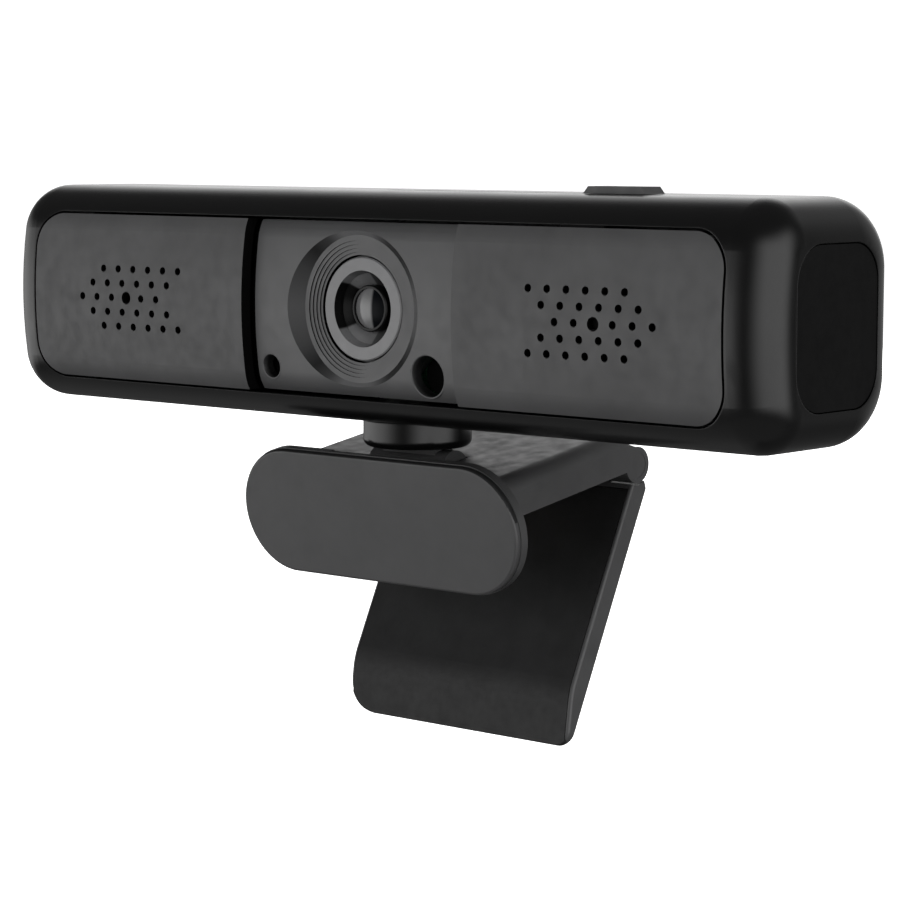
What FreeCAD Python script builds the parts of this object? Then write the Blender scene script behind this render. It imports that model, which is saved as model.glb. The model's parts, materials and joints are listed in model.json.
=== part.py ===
"""Bar webcam on a folding monitor clip.

Units are millimetres. The row frame has +X to the right as seen by someone facing the camera, -Y out of the
lens and +Z up. Its origin is on the rubber face under the clip's arm, the face that rests on a monitor.

Two working frames keep the numbers simple:
  head frame   origin on the front face's crest, level with the lens axis; the camera bar and its neck
  arm frame    origin as the row's, with the arm flat: s runs back along the arm and t up through it
"""
import FreeCAD
import Part

import math
import os

V = FreeCAD.Vector
X_AXIS = V(1, 0, 0)
Y_AXIS = V(0, 1, 0)
Z_AXIS = V(0, 0, 1)

# ---------------------------------------------------------------- camera bar
BAR_LENGTH = 120.4
BAR_BOTTOM, BAR_TOP = -13.68, 13.95
BAR_DEPTH = 26.0
CROWN_RADIUS = 54.7             # the front face bulges, seen from the end
FRONT_ROUND = 6.5
REAR_ROUND = 8.0
END_ROUND = 5.2
WALL = 1.8

FIELD_X = 54.7                  # half size of the opening that holds the front pieces
FIELD_Z = 10.7
FIELD_CORNER = 4.6
GROOVE = 0.3                    # dark joint line round the front pieces

PANEL_THICK = 1.0
WINDOW_X = 16.8                 # half width of the window between the two grilles
SHUTTER_FRONT = 1.06            # depths below the front face
SHUTTER_BACK = 1.44
PLATE_FRONT = 1.5
PLATE_BACK = 3.3
PLATE_RIM_BACK = 7.0
PLATE_Z = FIELD_Z - 0.4
PLATE_X = FIELD_X - 0.5
PLATE_CORNER = FIELD_CORNER - 0.5
PLATE_GAP = 0.1

# grilles: five rows of six holes, each row set in from the middle one
HOLE_PITCH = 2.7
ROW_PITCH = 1.81
ROW_SHIFT = 1.93
HOLE_RADIUS = 0.475
MIC_HOLE_RADIUS = 0.8
MIC_X = 37.27
HOLES_PER_ROW = 6
MIC_HOLE_INDEX = 2
MIC_RADIUS = 2.95
MIC_BACK = 7.8
BOOT_RADIUS = 4.2
BOOT_FRONT = 3.6

# lens
DISH_RADIUS = 10.45
DISH_FLOOR_RADIUS = 8.75
DISH_FLOOR = 2.8
STEP_RADII = (8.1, 7.65, 7.2, 6.75)
STEP_DROP = 0.15
RING_POCKET_RADIUS = 6.4
RING_RADIUS = 6.15
RING_INNER_RADIUS = 4.55
RING_FRONT = 3.42
RING_BACK = 4.6
BARREL_RADIUS = 6.0
BARREL_BACK = 15.0
SNOUT_RADIUS = 2.65
SNOUT_FRONT = 4.6
SNOUT_EDGE = 0.15               # the snout widens by this much behind its rim
GLASS_RADIUS = 2.42
GLASS_BACK = 7.0
DOME_RADIUS = 7.0
THROAT_RADIUS = 3.0
MOUTH_RADIUS, MOUTH_DEPTH = 4.2, 6.0
HOLDER_FRONT = 9.0
HOLDER_BACK = 18.0
HOLDER_HALF = 7.2
BOARD_FRONT = 19.0
BOARD_BACK = 20.2

LED_X, LED_Z, LED_RADIUS = -13.65, -7.4, 1.5
SENSOR_X, SENSOR_Z, SENSOR_RADIUS = 11.55, -7.3, 2.52
PORT_CHAMFER = 0.08
LED_WINDOW_RADIUS = 1.3
SENSOR_WINDOW_RADIUS = 2.2

# ends and back
CAP_Y = (5.6, 21.3)
CAP_Z = 9.1
CAP_CORNER = 4.5
CAP_DEPTH = 1.4
CAP_SUNK = 0.12
CAP_GAP = 0.15
COVER_X = 52.5
COVER_Z = 9.4
COVER_CORNER = 4.0
COVER_FRONT = 22.6
COVER_GAP = 0.2
COVER_SEAT = 0.6                # width of the ledge that the cover lies on
COVER_SEAT_THICK = 0.7
LEDGE_X = 46.5                  # the lens plate's ends rest on ledges from here outwards
SCREW_X = 49.0
SCREW_Z = 6.0
BOSS_RADIUS = 2.6
COVER_SCREW_RADIUS = 0.95
COVER_HEAD_RADIUS = 1.9
COVER_SCREW_TIP, COVER_SCREW_SEAT = 15.5, 24.4
GROMMET_Z = -4.5
GROMMET_BORE = 1.8
GROMMET_FLANGE_RADIUS = 4.2
GROMMET_NECK_RADIUS = 3.0
GROMMET_NOSE_RADII = (4.0, 3.4)
GROMMET_FRONT, GROMMET_BACK = 21.4, 27.5

# privacy shutter
SHUTTER_X = 32.0                # centre of the blade when open
SHUTTER_HALF = 10.5
SHUTTER_TRAVEL = 32.0
SHUTTER_Z = (-9.6, 10.0)
SHUTTER_ARM_X = 34.1
SHUTTER_ARM_HALF = 3.0
SHUTTER_ARM_Z = (10.35, 10.95)
KNOB_Y = 9.5
KNOB_HALF_BASE = 4.4
KNOB_HALF_TOP = 3.7
KNOB_GAP = 0.05
KNOB_HEIGHT = 0.82
KNOB_DEPTH = 3.6

# neck: the bar turns on it, and it tilts on a barrel in the arm
NECK_Y = 13.3
COLLAR_RADIUS = 6.6
COLLAR_TOP = -13.78
COLLAR_BOTTOM = -17.0
COLLAR_ROUND = 1.0
TILT_Z = -19.7
KNUCKLE_RADIUS = 2.5
KNUCKLE_HALF = 6.0
STEM_RADIUS = 2.5
STEM_TOP = -10.5
BUSH_RADIUS, BUSH_FLANGE_RADIUS = 4.0, 4.6
SWIVEL_SCREW_RADIUS, SWIVEL_HEAD_RADIUS = 1.25, 2.8
SWIVEL_SCREW_LOW = -17.5
WASHER_RADIUS, WASHER_THICK = 4.5, 0.8
PIN_RADIUS = 1.0
RUNNING = 0.05                  # radial clearance of a pin or stem that turns in a bore

# clip
REST_Y, REST_Z = 19.05, -22.9   # the row's origin, in the head frame
ARM_TILT = 9.5                  # degrees, the arm rises towards the back
ARM_HALF = 18.0
ARM_BOTTOM, ARM_TOP = 0.3, 5.25
ARM_FRONT = -11.75
ARM_SIDE_ROUND = 2.0
HINGE_S, HINGE_T = 15.0, 0.7
HINGE_RADIUS = 2.25
HINGE_LUG_X = 13.2              # the arm's two lugs start here
HINGE_CAP_RADIUS = 1.6
SCREW_RADIUS, SCREW_HEAD_RADIUS = 0.8, 1.5  # the clip's four small screws
BASE_SCREW_X, BASE_SCREW_S = 11.0, 8.2
TRIPOD_S = 5.5
INSERT_RADIUS = 4.0
TRIPOD_RADIUS = 2.55            # minor radius of a 1/4"-20 thread
TRIPOD_DEPTH = 3.6

FACE_HALF_STRAIGHT = 14.2       # front plate: a stadium shape
FACE_RADIUS = 7.87
FACE_T = -0.38
FACE_FRONT = -13.65
SHEET_BACK = -12.9
GRIP_FACE = -10.5
PLATE_SCREW_X, PLATE_SCREW_T = 11.0, 2.7
PLATE_SCREW_SEAT = -12.35       # the screw heads bear here, under the facing

LEG_LEAN = 25.8                 # degrees from upright, foot forward
LEG_FACE, LEG_BACK = 0.15, 3.2  # depths of the leg's face and back
LEG_TOP = -2.3                  # the back's top edge
LEG_TIP = -35.6
LEG_CORNERS = (4.2, 1.9)        # radii of the lower left and lower right corners
LEG_EDGE_ROUND = 0.4
LEG_GAP_RADIUS = 2.5            # the leg's top edge is hollowed round the hinge lugs
LEG_GAP_END = 2.15
FOOT_START = -27.8              # from here down the face bends back into the foot
FOOT_BEND_RADIUS = 9.0
FOOT_ANGLE = 18                 # degrees between the foot's face and the leg's
TIP_ROUND = 0.5
BARREL_END_GAP = 0.35

PAD_X = 17.45                   # rubber facing, let into the leg
PAD_TOP = -3.2
PAD_THICK = 0.45
PAD_GAP = 0.1


# ---------------------------------------------------------------- shape helpers
def box(x, y, z):
    """Box from three (low, high) pairs."""
    return Part.makeBox(x[1] - x[0], y[1] - y[0], z[1] - z[0], V(x[0], y[0], z[0]))


def ordered(a, b):
    return (min(a, b), max(a, b))


def rod_x(radius, x, y, z):
    return Part.makeCylinder(radius, x[1] - x[0], V(x[0], y, z), X_AXIS)


def rod_y(radius, x, y, z):
    return Part.makeCylinder(radius, y[1] - y[0], V(x, y[0], z), Y_AXIS)


def rod_z(radius, x, y, z):
    return Part.makeCylinder(radius, z[1] - z[0], V(x, y, z[0]), Z_AXIS)


def cone_y(radii, x, y, z):
    """Cone along Y, its first radius at the low end of y."""
    return Part.makeCone(radii[0], radii[1], y[1] - y[0], V(x, y[0], z), Y_AXIS)


def edges_along(shape, axis, shortest=0.1):
    """Straight edges of a shape that run along an axis."""
    found = []
    for edge in shape.Edges:
        start, end = edge.Vertexes[0].Point, edge.Vertexes[-1].Point
        span = end - start
        if span.Length > shortest and abs(span.dot(axis)) > 0.999 * span.Length:
            found.append(edge)
    return found


def rounded_box(x, y, z, axis, radius):
    """Box whose four edges along an axis are rounded."""
    block = box(x, y, z)
    return block.makeFillet(radius, edges_along(block, axis))


def face_of(edges):
    return Part.Face(Part.Wire(Part.__sortEdges__(edges)))


def line(a, b):
    return Part.LineSegment(a, b).toShape()


def arc(a, b, c):
    return Part.Arc(a, b, c).toShape()


def revolve_y(profile):
    """Solid of revolution about the lens axis; the profile lists (radius, depth) pairs."""
    points = [V(radius, depth, 0) for radius, depth in profile]
    wire = Part.makePolygon(points + [points[0]])
    return Part.Face(wire).revolve(V(0, 0, 0), Y_AXIS, 360)


def cut(shape, *tools):
    for tool in tools:
        shape = shape.cut(tool)
    return shape


def fuse(shape, *others):
    for other in others:
        shape = shape.fuse(other)
    return shape.removeSplitter()


def from_head(shape):
    """Head frame to row frame."""
    shape = shape.copy()
    shape.translate(V(0, -REST_Y, -REST_Z))
    return shape


def from_arm(shape):
    """Arm frame to row frame."""
    shape = shape.copy()
    shape.rotate(V(0, 0, 0), X_AXIS, ARM_TILT)
    return shape


def from_leg(shape):
    """Leg frame, whose origin is on the hinge and whose leg hangs straight down, to row frame."""
    shape = shape.copy()
    shape.rotate(V(0, 0, 0), X_AXIS, -LEG_LEAN)
    tilt = math.radians(ARM_TILT)
    y = HINGE_S * math.cos(tilt) - HINGE_T * math.sin(tilt)
    z = HINGE_S * math.sin(tilt) + HINGE_T * math.cos(tilt)
    shape.translate(V(0, y, z))
    return shape


def tilt_axis_in_arm():
    """The tilt axis as (s, t) in the arm frame."""
    tilt = math.radians(ARM_TILT)
    dy = NECK_Y - REST_Y
    dz = TILT_Z - REST_Z
    return dy * math.cos(tilt) + dz * math.sin(tilt), dz * math.cos(tilt) - dy * math.sin(tilt)


# ---------------------------------------------------------------- the bar's outer form
def bar_form(inset):
    """The bar's outer form, moved in by a constant distance on every side."""
    half_x = BAR_LENGTH / 2 - inset
    low, high = BAR_BOTTOM + inset, BAR_TOP - inset
    back = BAR_DEPTH - inset
    crown = CROWN_RADIUS - inset

    def crown_point(z):
        return V(-half_x, CROWN_RADIUS - math.sqrt(crown ** 2 - z ** 2), z)

    low_back = V(-half_x, back, low)
    high_back = V(-half_x, back, high)
    section = face_of([
        arc(crown_point(low), crown_point(0), crown_point(high)),
        line(crown_point(high), high_back),
        line(high_back, low_back),
        line(low_back, crown_point(low)),
    ])
    block = section.extrude(V(2 * half_x, 0, 0))
    long_edges = edges_along(block, X_AXIS, half_x)
    front_edges = [edge for edge in long_edges if edge.Vertexes[0].Y < back / 2]
    block = block.makeFillet(FRONT_ROUND - inset, front_edges)
    rear_edges = [edge for edge in edges_along(block, X_AXIS, half_x)
                  if abs(edge.Vertexes[0].Y - back) < 0.01]
    block = block.makeFillet(REAR_ROUND - inset, rear_edges)
    end_edges = [edge for edge in block.Edges if abs(abs(edge.CenterOfMass.x) - half_x) < 0.01]
    return block.makeFillet(END_ROUND - inset, end_edges)


def front_layer(outer, inner, x, z):
    """Part of the bowed layer between two depths below the front face."""
    keep = box(x, (-1, 12), z)
    return bar_form(outer).common(keep).cut(bar_form(inner))


# ---------------------------------------------------------------- camera bar pieces
def body_shell():
    """One-piece housing, open at the front field and at the back."""
    shell = cut(
        bar_form(0),
        bar_form(WALL),
        rounded_box((-FIELD_X, FIELD_X), (-1, 9), (-FIELD_Z, FIELD_Z), Y_AXIS, FIELD_CORNER),
        cover_outline(COVER_GAP, (20, 28)),
    )
    shell = fuse(shell, cover_seat())
    plate_space = plate_outline(PLATE_GAP).cut(bar_form(PLATE_BACK))
    for side in (-1, 1):
        ledge = bar_form(WALL - 0.2).common(box(ordered(side * LEDGE_X, side * 59), (3, 8), (-13, 13)))
        shell = fuse(shell, ledge.cut(plate_space))
        for z in (-SCREW_Z, SCREW_Z):
            shell = fuse(shell, rod_y(BOSS_RADIUS, side * SCREW_X, (7, COVER_FRONT), z))
            shell = shell.cut(rod_y(COVER_SCREW_RADIUS, side * SCREW_X, (COVER_SCREW_TIP - 0.5, 24), z))
        pocket_x = ordered(side * (BAR_LENGTH / 2 - CAP_DEPTH - 0.1), side * (BAR_LENGTH / 2 + 1))
        shell = shell.cut(rounded_box(pocket_x, CAP_Y, (-CAP_Z, CAP_Z), X_AXIS, CAP_CORNER))
    arm_low = SHUTTER_ARM_X - SHUTTER_ARM_HALF - SHUTTER_TRAVEL - 0.3
    arm_high = SHUTTER_ARM_X + SHUTTER_ARM_HALF + 0.3
    shell = shell.cut(box((arm_low, arm_high), (2.3, 5), (10.2, 11.1)))
    shell = shell.cut(box((arm_low, arm_high), (KNOB_Y - 0.55, KNOB_Y + 0.55), (11, 15)))
    return shell.cut(rod_z(BUSH_RADIUS, 0, NECK_Y, (-15, -11)))


def cover_outline(grow, y):
    """The rear cover's outline as a block, grown by a distance on every side."""
    return rounded_box((-COVER_X - grow, COVER_X + grow), y, (-COVER_Z - grow, COVER_Z + grow), Y_AXIS,
                       COVER_CORNER + grow)


def cover_seat():
    """Ledge round the rear opening, which closes the joint behind the cover to light."""
    rim = cover_outline(COVER_SEAT + 0.4, (COVER_FRONT - COVER_SEAT_THICK, BAR_DEPTH))
    rim = rim.common(bar_form(WALL - 0.2))
    return cut(rim, cover_outline(COVER_GAP, (COVER_FRONT, 28)), cover_outline(-COVER_SEAT, (20, 28)))


def end_cap(side):
    """Matt inset plate in the end of the bar."""
    half = BAR_LENGTH / 2
    x = ordered(side * (half - CAP_DEPTH), side * (half - CAP_SUNK))
    y = (CAP_Y[0] + CAP_GAP, CAP_Y[1] - CAP_GAP)
    half_z = CAP_Z - CAP_GAP
    return rounded_box(x, y, (-half_z, half_z), X_AXIS, CAP_CORNER - CAP_GAP)


def rear_cover():
    cover = bar_form(0).common(cover_outline(0, (COVER_FRONT, 28)))
    cover = cover.cut(rod_y(GROMMET_NECK_RADIUS, 0, (20, 30), GROMMET_Z))
    for x in (-SCREW_X, SCREW_X):
        for z in (-SCREW_Z, SCREW_Z):
            cover = cover.cut(rod_y(COVER_SCREW_RADIUS + 0.1, x, (22, 30), z))
            cover = cover.cut(rod_y(COVER_HEAD_RADIUS + 0.1, x, (COVER_SCREW_SEAT, 30), z))
    return cover


def cover_screw(x, z):
    """Pan-head screw with a cross recess."""
    head = (COVER_SCREW_SEAT, COVER_SCREW_SEAT + 1.0)
    slot_y = (COVER_SCREW_SEAT + 0.5, BAR_DEPTH)
    long, short = 1.2, 0.25      # half sizes of the recess's arms
    return cut(
        fuse(rod_y(COVER_SCREW_RADIUS, x, (COVER_SCREW_TIP, COVER_SCREW_SEAT), z),
             rod_y(COVER_HEAD_RADIUS, x, head, z)),
        box((x - long, x + long), slot_y, (z - short, z + short)),
        box((x - short, x + short), slot_y, (z - long, z + long)),
    )


def cable_grommet():
    """Flanged rubber grommet; the cable itself isn't part of the model."""
    grommet = fuse(
        rod_y(GROMMET_FLANGE_RADIUS, 0, (GROMMET_FRONT, COVER_FRONT), GROMMET_Z),
        rod_y(GROMMET_NECK_RADIUS, 0, (COVER_FRONT, BAR_DEPTH + 0.1), GROMMET_Z),
        cone_y(GROMMET_NOSE_RADII, 0, (BAR_DEPTH + 0.1, GROMMET_BACK), GROMMET_Z),
    )
    return grommet.cut(rod_y(GROMMET_BORE, 0, (GROMMET_FRONT - 1, GROMMET_BACK + 1), GROMMET_Z))


def grille_holes(side):
    """Cutters for one grille. The middle row stands furthest out, so the rows form an arrow."""
    holes = []
    for row in range(-2, 3):
        for index in range(HOLES_PER_ROW):
            x = MIC_X + (index - MIC_HOLE_INDEX) * HOLE_PITCH - abs(row) * ROW_SHIFT
            is_mic_hole = row == 0 and index == MIC_HOLE_INDEX
            radius = MIC_HOLE_RADIUS if is_mic_hole else HOLE_RADIUS
            holes.append(rod_y(radius, side * x, (-1, 4), row * ROW_PITCH))
    return holes


def grille_panel(side):
    """Bowed grille, with ribs behind it that stand on the lens plate."""
    outer = FIELD_X - GROOVE
    half_z = FIELD_Z - GROOVE
    x = ordered(side * WINDOW_X, side * outer)
    z = (-half_z, half_z)
    panel = front_layer(0, PANEL_THICK, x, z)
    ribs = [front_layer(PANEL_THICK - 0.2, PLATE_FRONT, ordered(side * 50, side * outer), z)]
    if side < 0:
        ribs.append(front_layer(PANEL_THICK - 0.2, PLATE_FRONT, (-WINDOW_X - 1.2, -WINDOW_X), z))
    else:
        ribs.append(front_layer(PANEL_THICK - 0.2, PLATE_FRONT, (WINDOW_X, 50), (-half_z, -half_z + 0.45)))
    panel = fuse(panel, *ribs)
    outline = rounded_box((-outer, outer), (-1, 8), z, Y_AXIS, FIELD_CORNER - GROOVE)
    return cut(panel.common(outline), *grille_holes(side))


def plate_outline(grow):
    """The lens plate's outline as a block, grown by a distance on every side."""
    half_x, half_z = PLATE_X + grow, PLATE_Z + grow
    return rounded_box((-half_x, half_x), (-1, PLATE_RIM_BACK), (-half_z, half_z), Y_AXIS, PLATE_CORNER + grow)


def lens_plate():
    """Long plate behind the grilles, seen in the window, with the stepped dish round the lens."""
    plate = front_layer(PLATE_FRONT, PLATE_BACK, (-PLATE_X, PLATE_X), (-PLATE_Z, PLATE_Z))
    boss = rod_y(PLATE_Z, 0, (PLATE_BACK - 0.3, 6.0), 0).cut(bar_form(0).cut(bar_form(PLATE_FRONT)))
    plate = fuse(plate.common(plate_outline(0)), boss)
    wall_slope = (DISH_RADIUS - DISH_FLOOR_RADIUS) / (DISH_FLOOR - PLATE_FRONT)
    profile = [(0, 0), (DISH_RADIUS + wall_slope * PLATE_FRONT, 0), (DISH_FLOOR_RADIUS, DISH_FLOOR)]
    depth = DISH_FLOOR
    for radius in STEP_RADII:
        profile.append((radius, depth))
        depth += STEP_DROP
        profile.append((radius, depth))
    profile += [(RING_POCKET_RADIUS, depth), (RING_POCKET_RADIUS, RING_BACK), (0, RING_BACK)]
    plate = plate.cut(revolve_y(profile))
    plate = plate.cut(rod_y(BARREL_RADIUS + 0.1, 0, (RING_BACK, 7), 0))
    for x, z, radius in ((LED_X, LED_Z, LED_RADIUS), (SENSOR_X, SENSOR_Z, SENSOR_RADIUS)):
        plate = plate.cut(rod_y(radius, x, (0, 8), z))
        mouth = PLATE_FRONT + z ** 2 / (2 * CROWN_RADIUS)
        mouth_y = (mouth - PORT_CHAMFER, mouth + PORT_CHAMFER)
        plate = plate.cut(cone_y((radius + 2 * PORT_CHAMFER, radius), x, mouth_y, z))
    for side in (-1, 1):
        plate = plate.cut(rod_y(2.5, side * MIC_X, (0, 8), 0))
    return plate


def lens_trim_ring():
    return revolve_y([
        (RING_INNER_RADIUS, RING_FRONT), (RING_RADIUS - 0.15, RING_FRONT), (RING_RADIUS, RING_FRONT + 0.15),
        (RING_RADIUS, RING_BACK), (MOUTH_RADIUS, RING_BACK),
    ])


def lens_barrel():
    """Threaded barrel with a conical mouth and a raised snout that holds the front glass."""
    return revolve_y([
        (MOUTH_RADIUS, RING_BACK + 0.02), (BARREL_RADIUS, RING_BACK + 0.02), (BARREL_RADIUS, BARREL_BACK),
        (THROAT_RADIUS, BARREL_BACK), (THROAT_RADIUS, GLASS_BACK + 0.4), (GLASS_RADIUS, GLASS_BACK + 0.4),
        (GLASS_RADIUS, SNOUT_FRONT), (SNOUT_RADIUS, SNOUT_FRONT),
        (SNOUT_RADIUS + SNOUT_EDGE, SNOUT_FRONT + SNOUT_EDGE), (SNOUT_RADIUS + SNOUT_EDGE, MOUTH_DEPTH),
    ])


def front_lens():
    """Domed glass in the snout."""
    dome = Part.makeSphere(DOME_RADIUS, V(0, SNOUT_FRONT - 0.1 + DOME_RADIUS, 0))
    return dome.common(rod_y(GLASS_RADIUS, 0, (SNOUT_FRONT - 1, GLASS_BACK), 0))


def rear_lens():
    glass = rod_y(THROAT_RADIUS, 0, (9.5, 12.0), 0)
    return glass.cut(Part.makeSphere(6.0, V(0, 17.0, 0)))


def lens_holder():
    """Square holder with a threaded bore and a chamber over the image sensor."""
    holder = box((-HOLDER_HALF, HOLDER_HALF), (HOLDER_FRONT, HOLDER_BACK), (-HOLDER_HALF, HOLDER_HALF))
    holder = fuse(holder, box((-10.5, 10.5), (HOLDER_BACK - 2, HOLDER_BACK + 1), (-2.5, 2.5)))
    holder = holder.cut(rod_y(BARREL_RADIUS + 0.02, 0, (8, 15.5), 0))
    return holder.cut(box((-5.5, 5.5), (15, 20), (-5.5, 5.5)))


def microphone_boot(side):
    boot = rod_y(BOOT_RADIUS, side * MIC_X, (BOOT_FRONT, MIC_BACK + 0.7), 0)
    return boot.cut(rod_y(MIC_RADIUS + 0.05, side * MIC_X, (3, MIC_BACK), 0))


def led_board():
    board = box((-17, 15), (7.0, 8.0), (-10.2, -4.2))
    return board.cut(rod_y(7.0, 0, (6, 9), 0))


def pan_bush():
    """Bearing bush in the floor of the bar."""
    low, high = BAR_BOTTOM, BAR_BOTTOM + WALL
    bush = fuse(
        rod_z(BUSH_RADIUS, 0, NECK_Y, (low, high)),
        rod_z(BUSH_FLANGE_RADIUS, 0, NECK_Y, (high, STEM_TOP - 0.1)),
    )
    return bush.cut(rod_z(STEM_RADIUS + RUNNING, 0, NECK_Y, (-15, -10)))


# ---------------------------------------------------------------- privacy shutter
def shutter_plate():
    """Bowed blade, with an arm that runs back over the lens plate and up through the slot on top."""
    x = (SHUTTER_X - SHUTTER_HALF, SHUTTER_X + SHUTTER_HALF)
    blade = front_layer(SHUTTER_FRONT, SHUTTER_BACK, x, SHUTTER_Z)
    arm_x = (SHUTTER_ARM_X - SHUTTER_ARM_HALF, SHUTTER_ARM_X + SHUTTER_ARM_HALF)
    riser = front_layer(SHUTTER_FRONT, SHUTTER_BACK, arm_x, (SHUTTER_Z[1] - 0.1, SHUTTER_ARM_Z[1]))
    arm = box(arm_x, (2.8, KNOB_Y + 0.4), SHUTTER_ARM_Z)
    stem = box(arm_x, (KNOB_Y - 0.4, KNOB_Y + 0.4), (SHUTTER_ARM_Z[0], BAR_TOP + KNOB_GAP))
    return fuse(blade, riser, arm, stem)


def shutter_knob():
    """Low finger tab with sloped ends."""
    low = BAR_TOP + KNOB_GAP
    high = low + KNOB_HEIGHT
    front = KNOB_Y - KNOB_DEPTH / 2
    corners = [
        V(SHUTTER_ARM_X - KNOB_HALF_BASE, front, low), V(SHUTTER_ARM_X + KNOB_HALF_BASE, front, low),
        V(SHUTTER_ARM_X + KNOB_HALF_TOP, front, high), V(SHUTTER_ARM_X - KNOB_HALF_TOP, front, high),
    ]
    side = Part.Face(Part.makePolygon(corners + [corners[0]]))
    return side.extrude(V(0, KNOB_DEPTH, 0))


# ---------------------------------------------------------------- neck
def tilt_knuckle():
    """Barrel across the arm, with a stem up into the bar."""
    knuckle = fuse(
        rod_x(KNUCKLE_RADIUS, (-KNUCKLE_HALF, KNUCKLE_HALF), NECK_Y, TILT_Z),
        box((-4.2, 4.2), (NECK_Y - 1.6, NECK_Y + 1.6), (TILT_Z, COLLAR_BOTTOM)),
        rod_z(STEM_RADIUS, 0, NECK_Y, (COLLAR_BOTTOM, STEM_TOP)),
    )
    knuckle = knuckle.cut(rod_x(PIN_RADIUS + RUNNING, (-9, 9), NECK_Y, TILT_Z))
    return knuckle.cut(rod_z(SWIVEL_SCREW_RADIUS, 0, NECK_Y, (SWIVEL_SCREW_LOW, -10)))


def neck_collar():
    collar = rod_z(COLLAR_RADIUS, 0, NECK_Y, (COLLAR_BOTTOM, COLLAR_TOP))
    lower = [edge for edge in collar.Edges if abs(edge.CenterOfMass.z - COLLAR_BOTTOM) < 0.01]
    collar = collar.makeFillet(COLLAR_ROUND, lower)
    return collar.cut(rod_z(STEM_RADIUS, 0, NECK_Y, (-18, -13)))


def swivel_washer():
    washer = rod_z(WASHER_RADIUS, 0, NECK_Y, (STEM_TOP, STEM_TOP + WASHER_THICK))
    return washer.cut(rod_z(SWIVEL_SCREW_RADIUS, 0, NECK_Y, (-11, -9)))


def swivel_screw():
    head_low = STEM_TOP + WASHER_THICK
    screw = fuse(
        rod_z(SWIVEL_SCREW_RADIUS, 0, NECK_Y, (SWIVEL_SCREW_LOW, head_low)),
        rod_z(SWIVEL_HEAD_RADIUS, 0, NECK_Y, (head_low, head_low + 1.5)),
    )
    slot = box((-1.6, 1.6), (NECK_Y - 0.3, NECK_Y + 0.3), (head_low + 0.8, head_low + 2))
    return screw.cut(slot)


# ---------------------------------------------------------------- clip, in the arm frame
def clip_arm():
    """Slab with rounded top sides, a trough for the neck's barrel and two hinge lugs at the back."""
    lug_low = V(-ARM_HALF, HINGE_S, ARM_BOTTOM)
    lug_top = V(-ARM_HALF, HINGE_S, HINGE_T + HINGE_RADIUS)
    slope_middle = V(-ARM_HALF, 12.2, 4.28)
    slope_start = V(-ARM_HALF, 9.0, ARM_TOP)
    front_high = V(-ARM_HALF, ARM_FRONT, ARM_TOP)
    front_low = V(-ARM_HALF, ARM_FRONT, ARM_BOTTOM)
    section = face_of([
        line(front_low, lug_low),
        line(lug_low, lug_top),
        arc(lug_top, slope_middle, slope_start),
        line(slope_start, front_high),
        line(front_high, front_low),
    ])
    slab = section.extrude(V(2 * ARM_HALF, 0, 0))
    top_sides = [edge for edge in edges_along(slab, Y_AXIS, 15) if edge.CenterOfMass.z > ARM_TOP - 0.1]
    slab = slab.makeFillet(ARM_SIDE_ROUND, top_sides)
    slab = fuse(slab, rod_x(HINGE_RADIUS, (-ARM_HALF, ARM_HALF), HINGE_S, HINGE_T))
    inner = (-HINGE_LUG_X, HINGE_LUG_X)
    slab = cut(
        slab,
        rod_x(HINGE_RADIUS + 0.25, inner, HINGE_S, HINGE_T),
        box(inner, (HINGE_S, HINGE_S + 4), (-3, 5)),
        rod_x(PIN_RADIUS, (-20, 20), HINGE_S, HINGE_T),
        rod_x(HINGE_CAP_RADIUS, (ARM_HALF - 0.8, 20), HINGE_S, HINGE_T),
        rod_x(HINGE_CAP_RADIUS, (-20, -ARM_HALF + 0.8), HINGE_S, HINGE_T),
        rounded_box((-15, 15), (-9.6, 10.4), (-1, 0.9), Z_AXIS, 2.0),
        box((-14, 14), (-1.4, 10.0), (0.5, 2.1)),
        rod_z(INSERT_RADIUS, 0, TRIPOD_S, (0, 4.5)),
    )
    s, t = tilt_axis_in_arm()
    reach = KNUCKLE_RADIUS + 0.15
    slab = cut(
        slab,
        rod_x(reach, (-KNUCKLE_HALF - 0.25, KNUCKLE_HALF + 0.25), s, t),
        box((-KNUCKLE_HALF - 0.25, KNUCKLE_HALF + 0.25), (s - reach, s + reach), (t, ARM_TOP + 1)),
        rod_x(PIN_RADIUS, (-10, 10), s, t),
    )
    for x in (-BASE_SCREW_X, BASE_SCREW_X):
        slab = slab.cut(rod_z(SCREW_RADIUS, x, BASE_SCREW_S, (1, 4.3)))
    for x in (-PLATE_SCREW_X, PLATE_SCREW_X):
        slab = slab.cut(rod_y(SCREW_RADIUS, x, (-12, -7), PLATE_SCREW_T))
    return slab


def arm_base_plate():
    plate = box((-13.9, 13.9), (-1.3, 9.9), (0.9, 2.0))
    plate = plate.cut(rod_z(INSERT_RADIUS, 0, TRIPOD_S, (0, 3)))
    for x in (-BASE_SCREW_X, BASE_SCREW_X):
        plate = plate.cut(rod_z(SCREW_RADIUS + 0.05, x, BASE_SCREW_S, (0, 3)))
        plate = plate.cut(rod_z(SCREW_HEAD_RADIUS + 0.1, x, BASE_SCREW_S, (0, 1.2)))
    return plate


def base_screw(x):
    return fuse(
        rod_z(SCREW_RADIUS, x, BASE_SCREW_S, (1.0, 4.2)),
        rod_z(SCREW_HEAD_RADIUS, x, BASE_SCREW_S, (0.92, 1.2)),
    )


def arm_grip_pad():
    """Rubber pad under the arm; its lower face is the row's origin plane."""
    pad = rounded_box((-14.9, 14.9), (-9.5, 10.3), (0, 0.9), Z_AXIS, 1.9)
    return pad.cut(rod_z(INSERT_RADIUS + 0.1, 0, TRIPOD_S, (-1, 2)))


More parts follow.
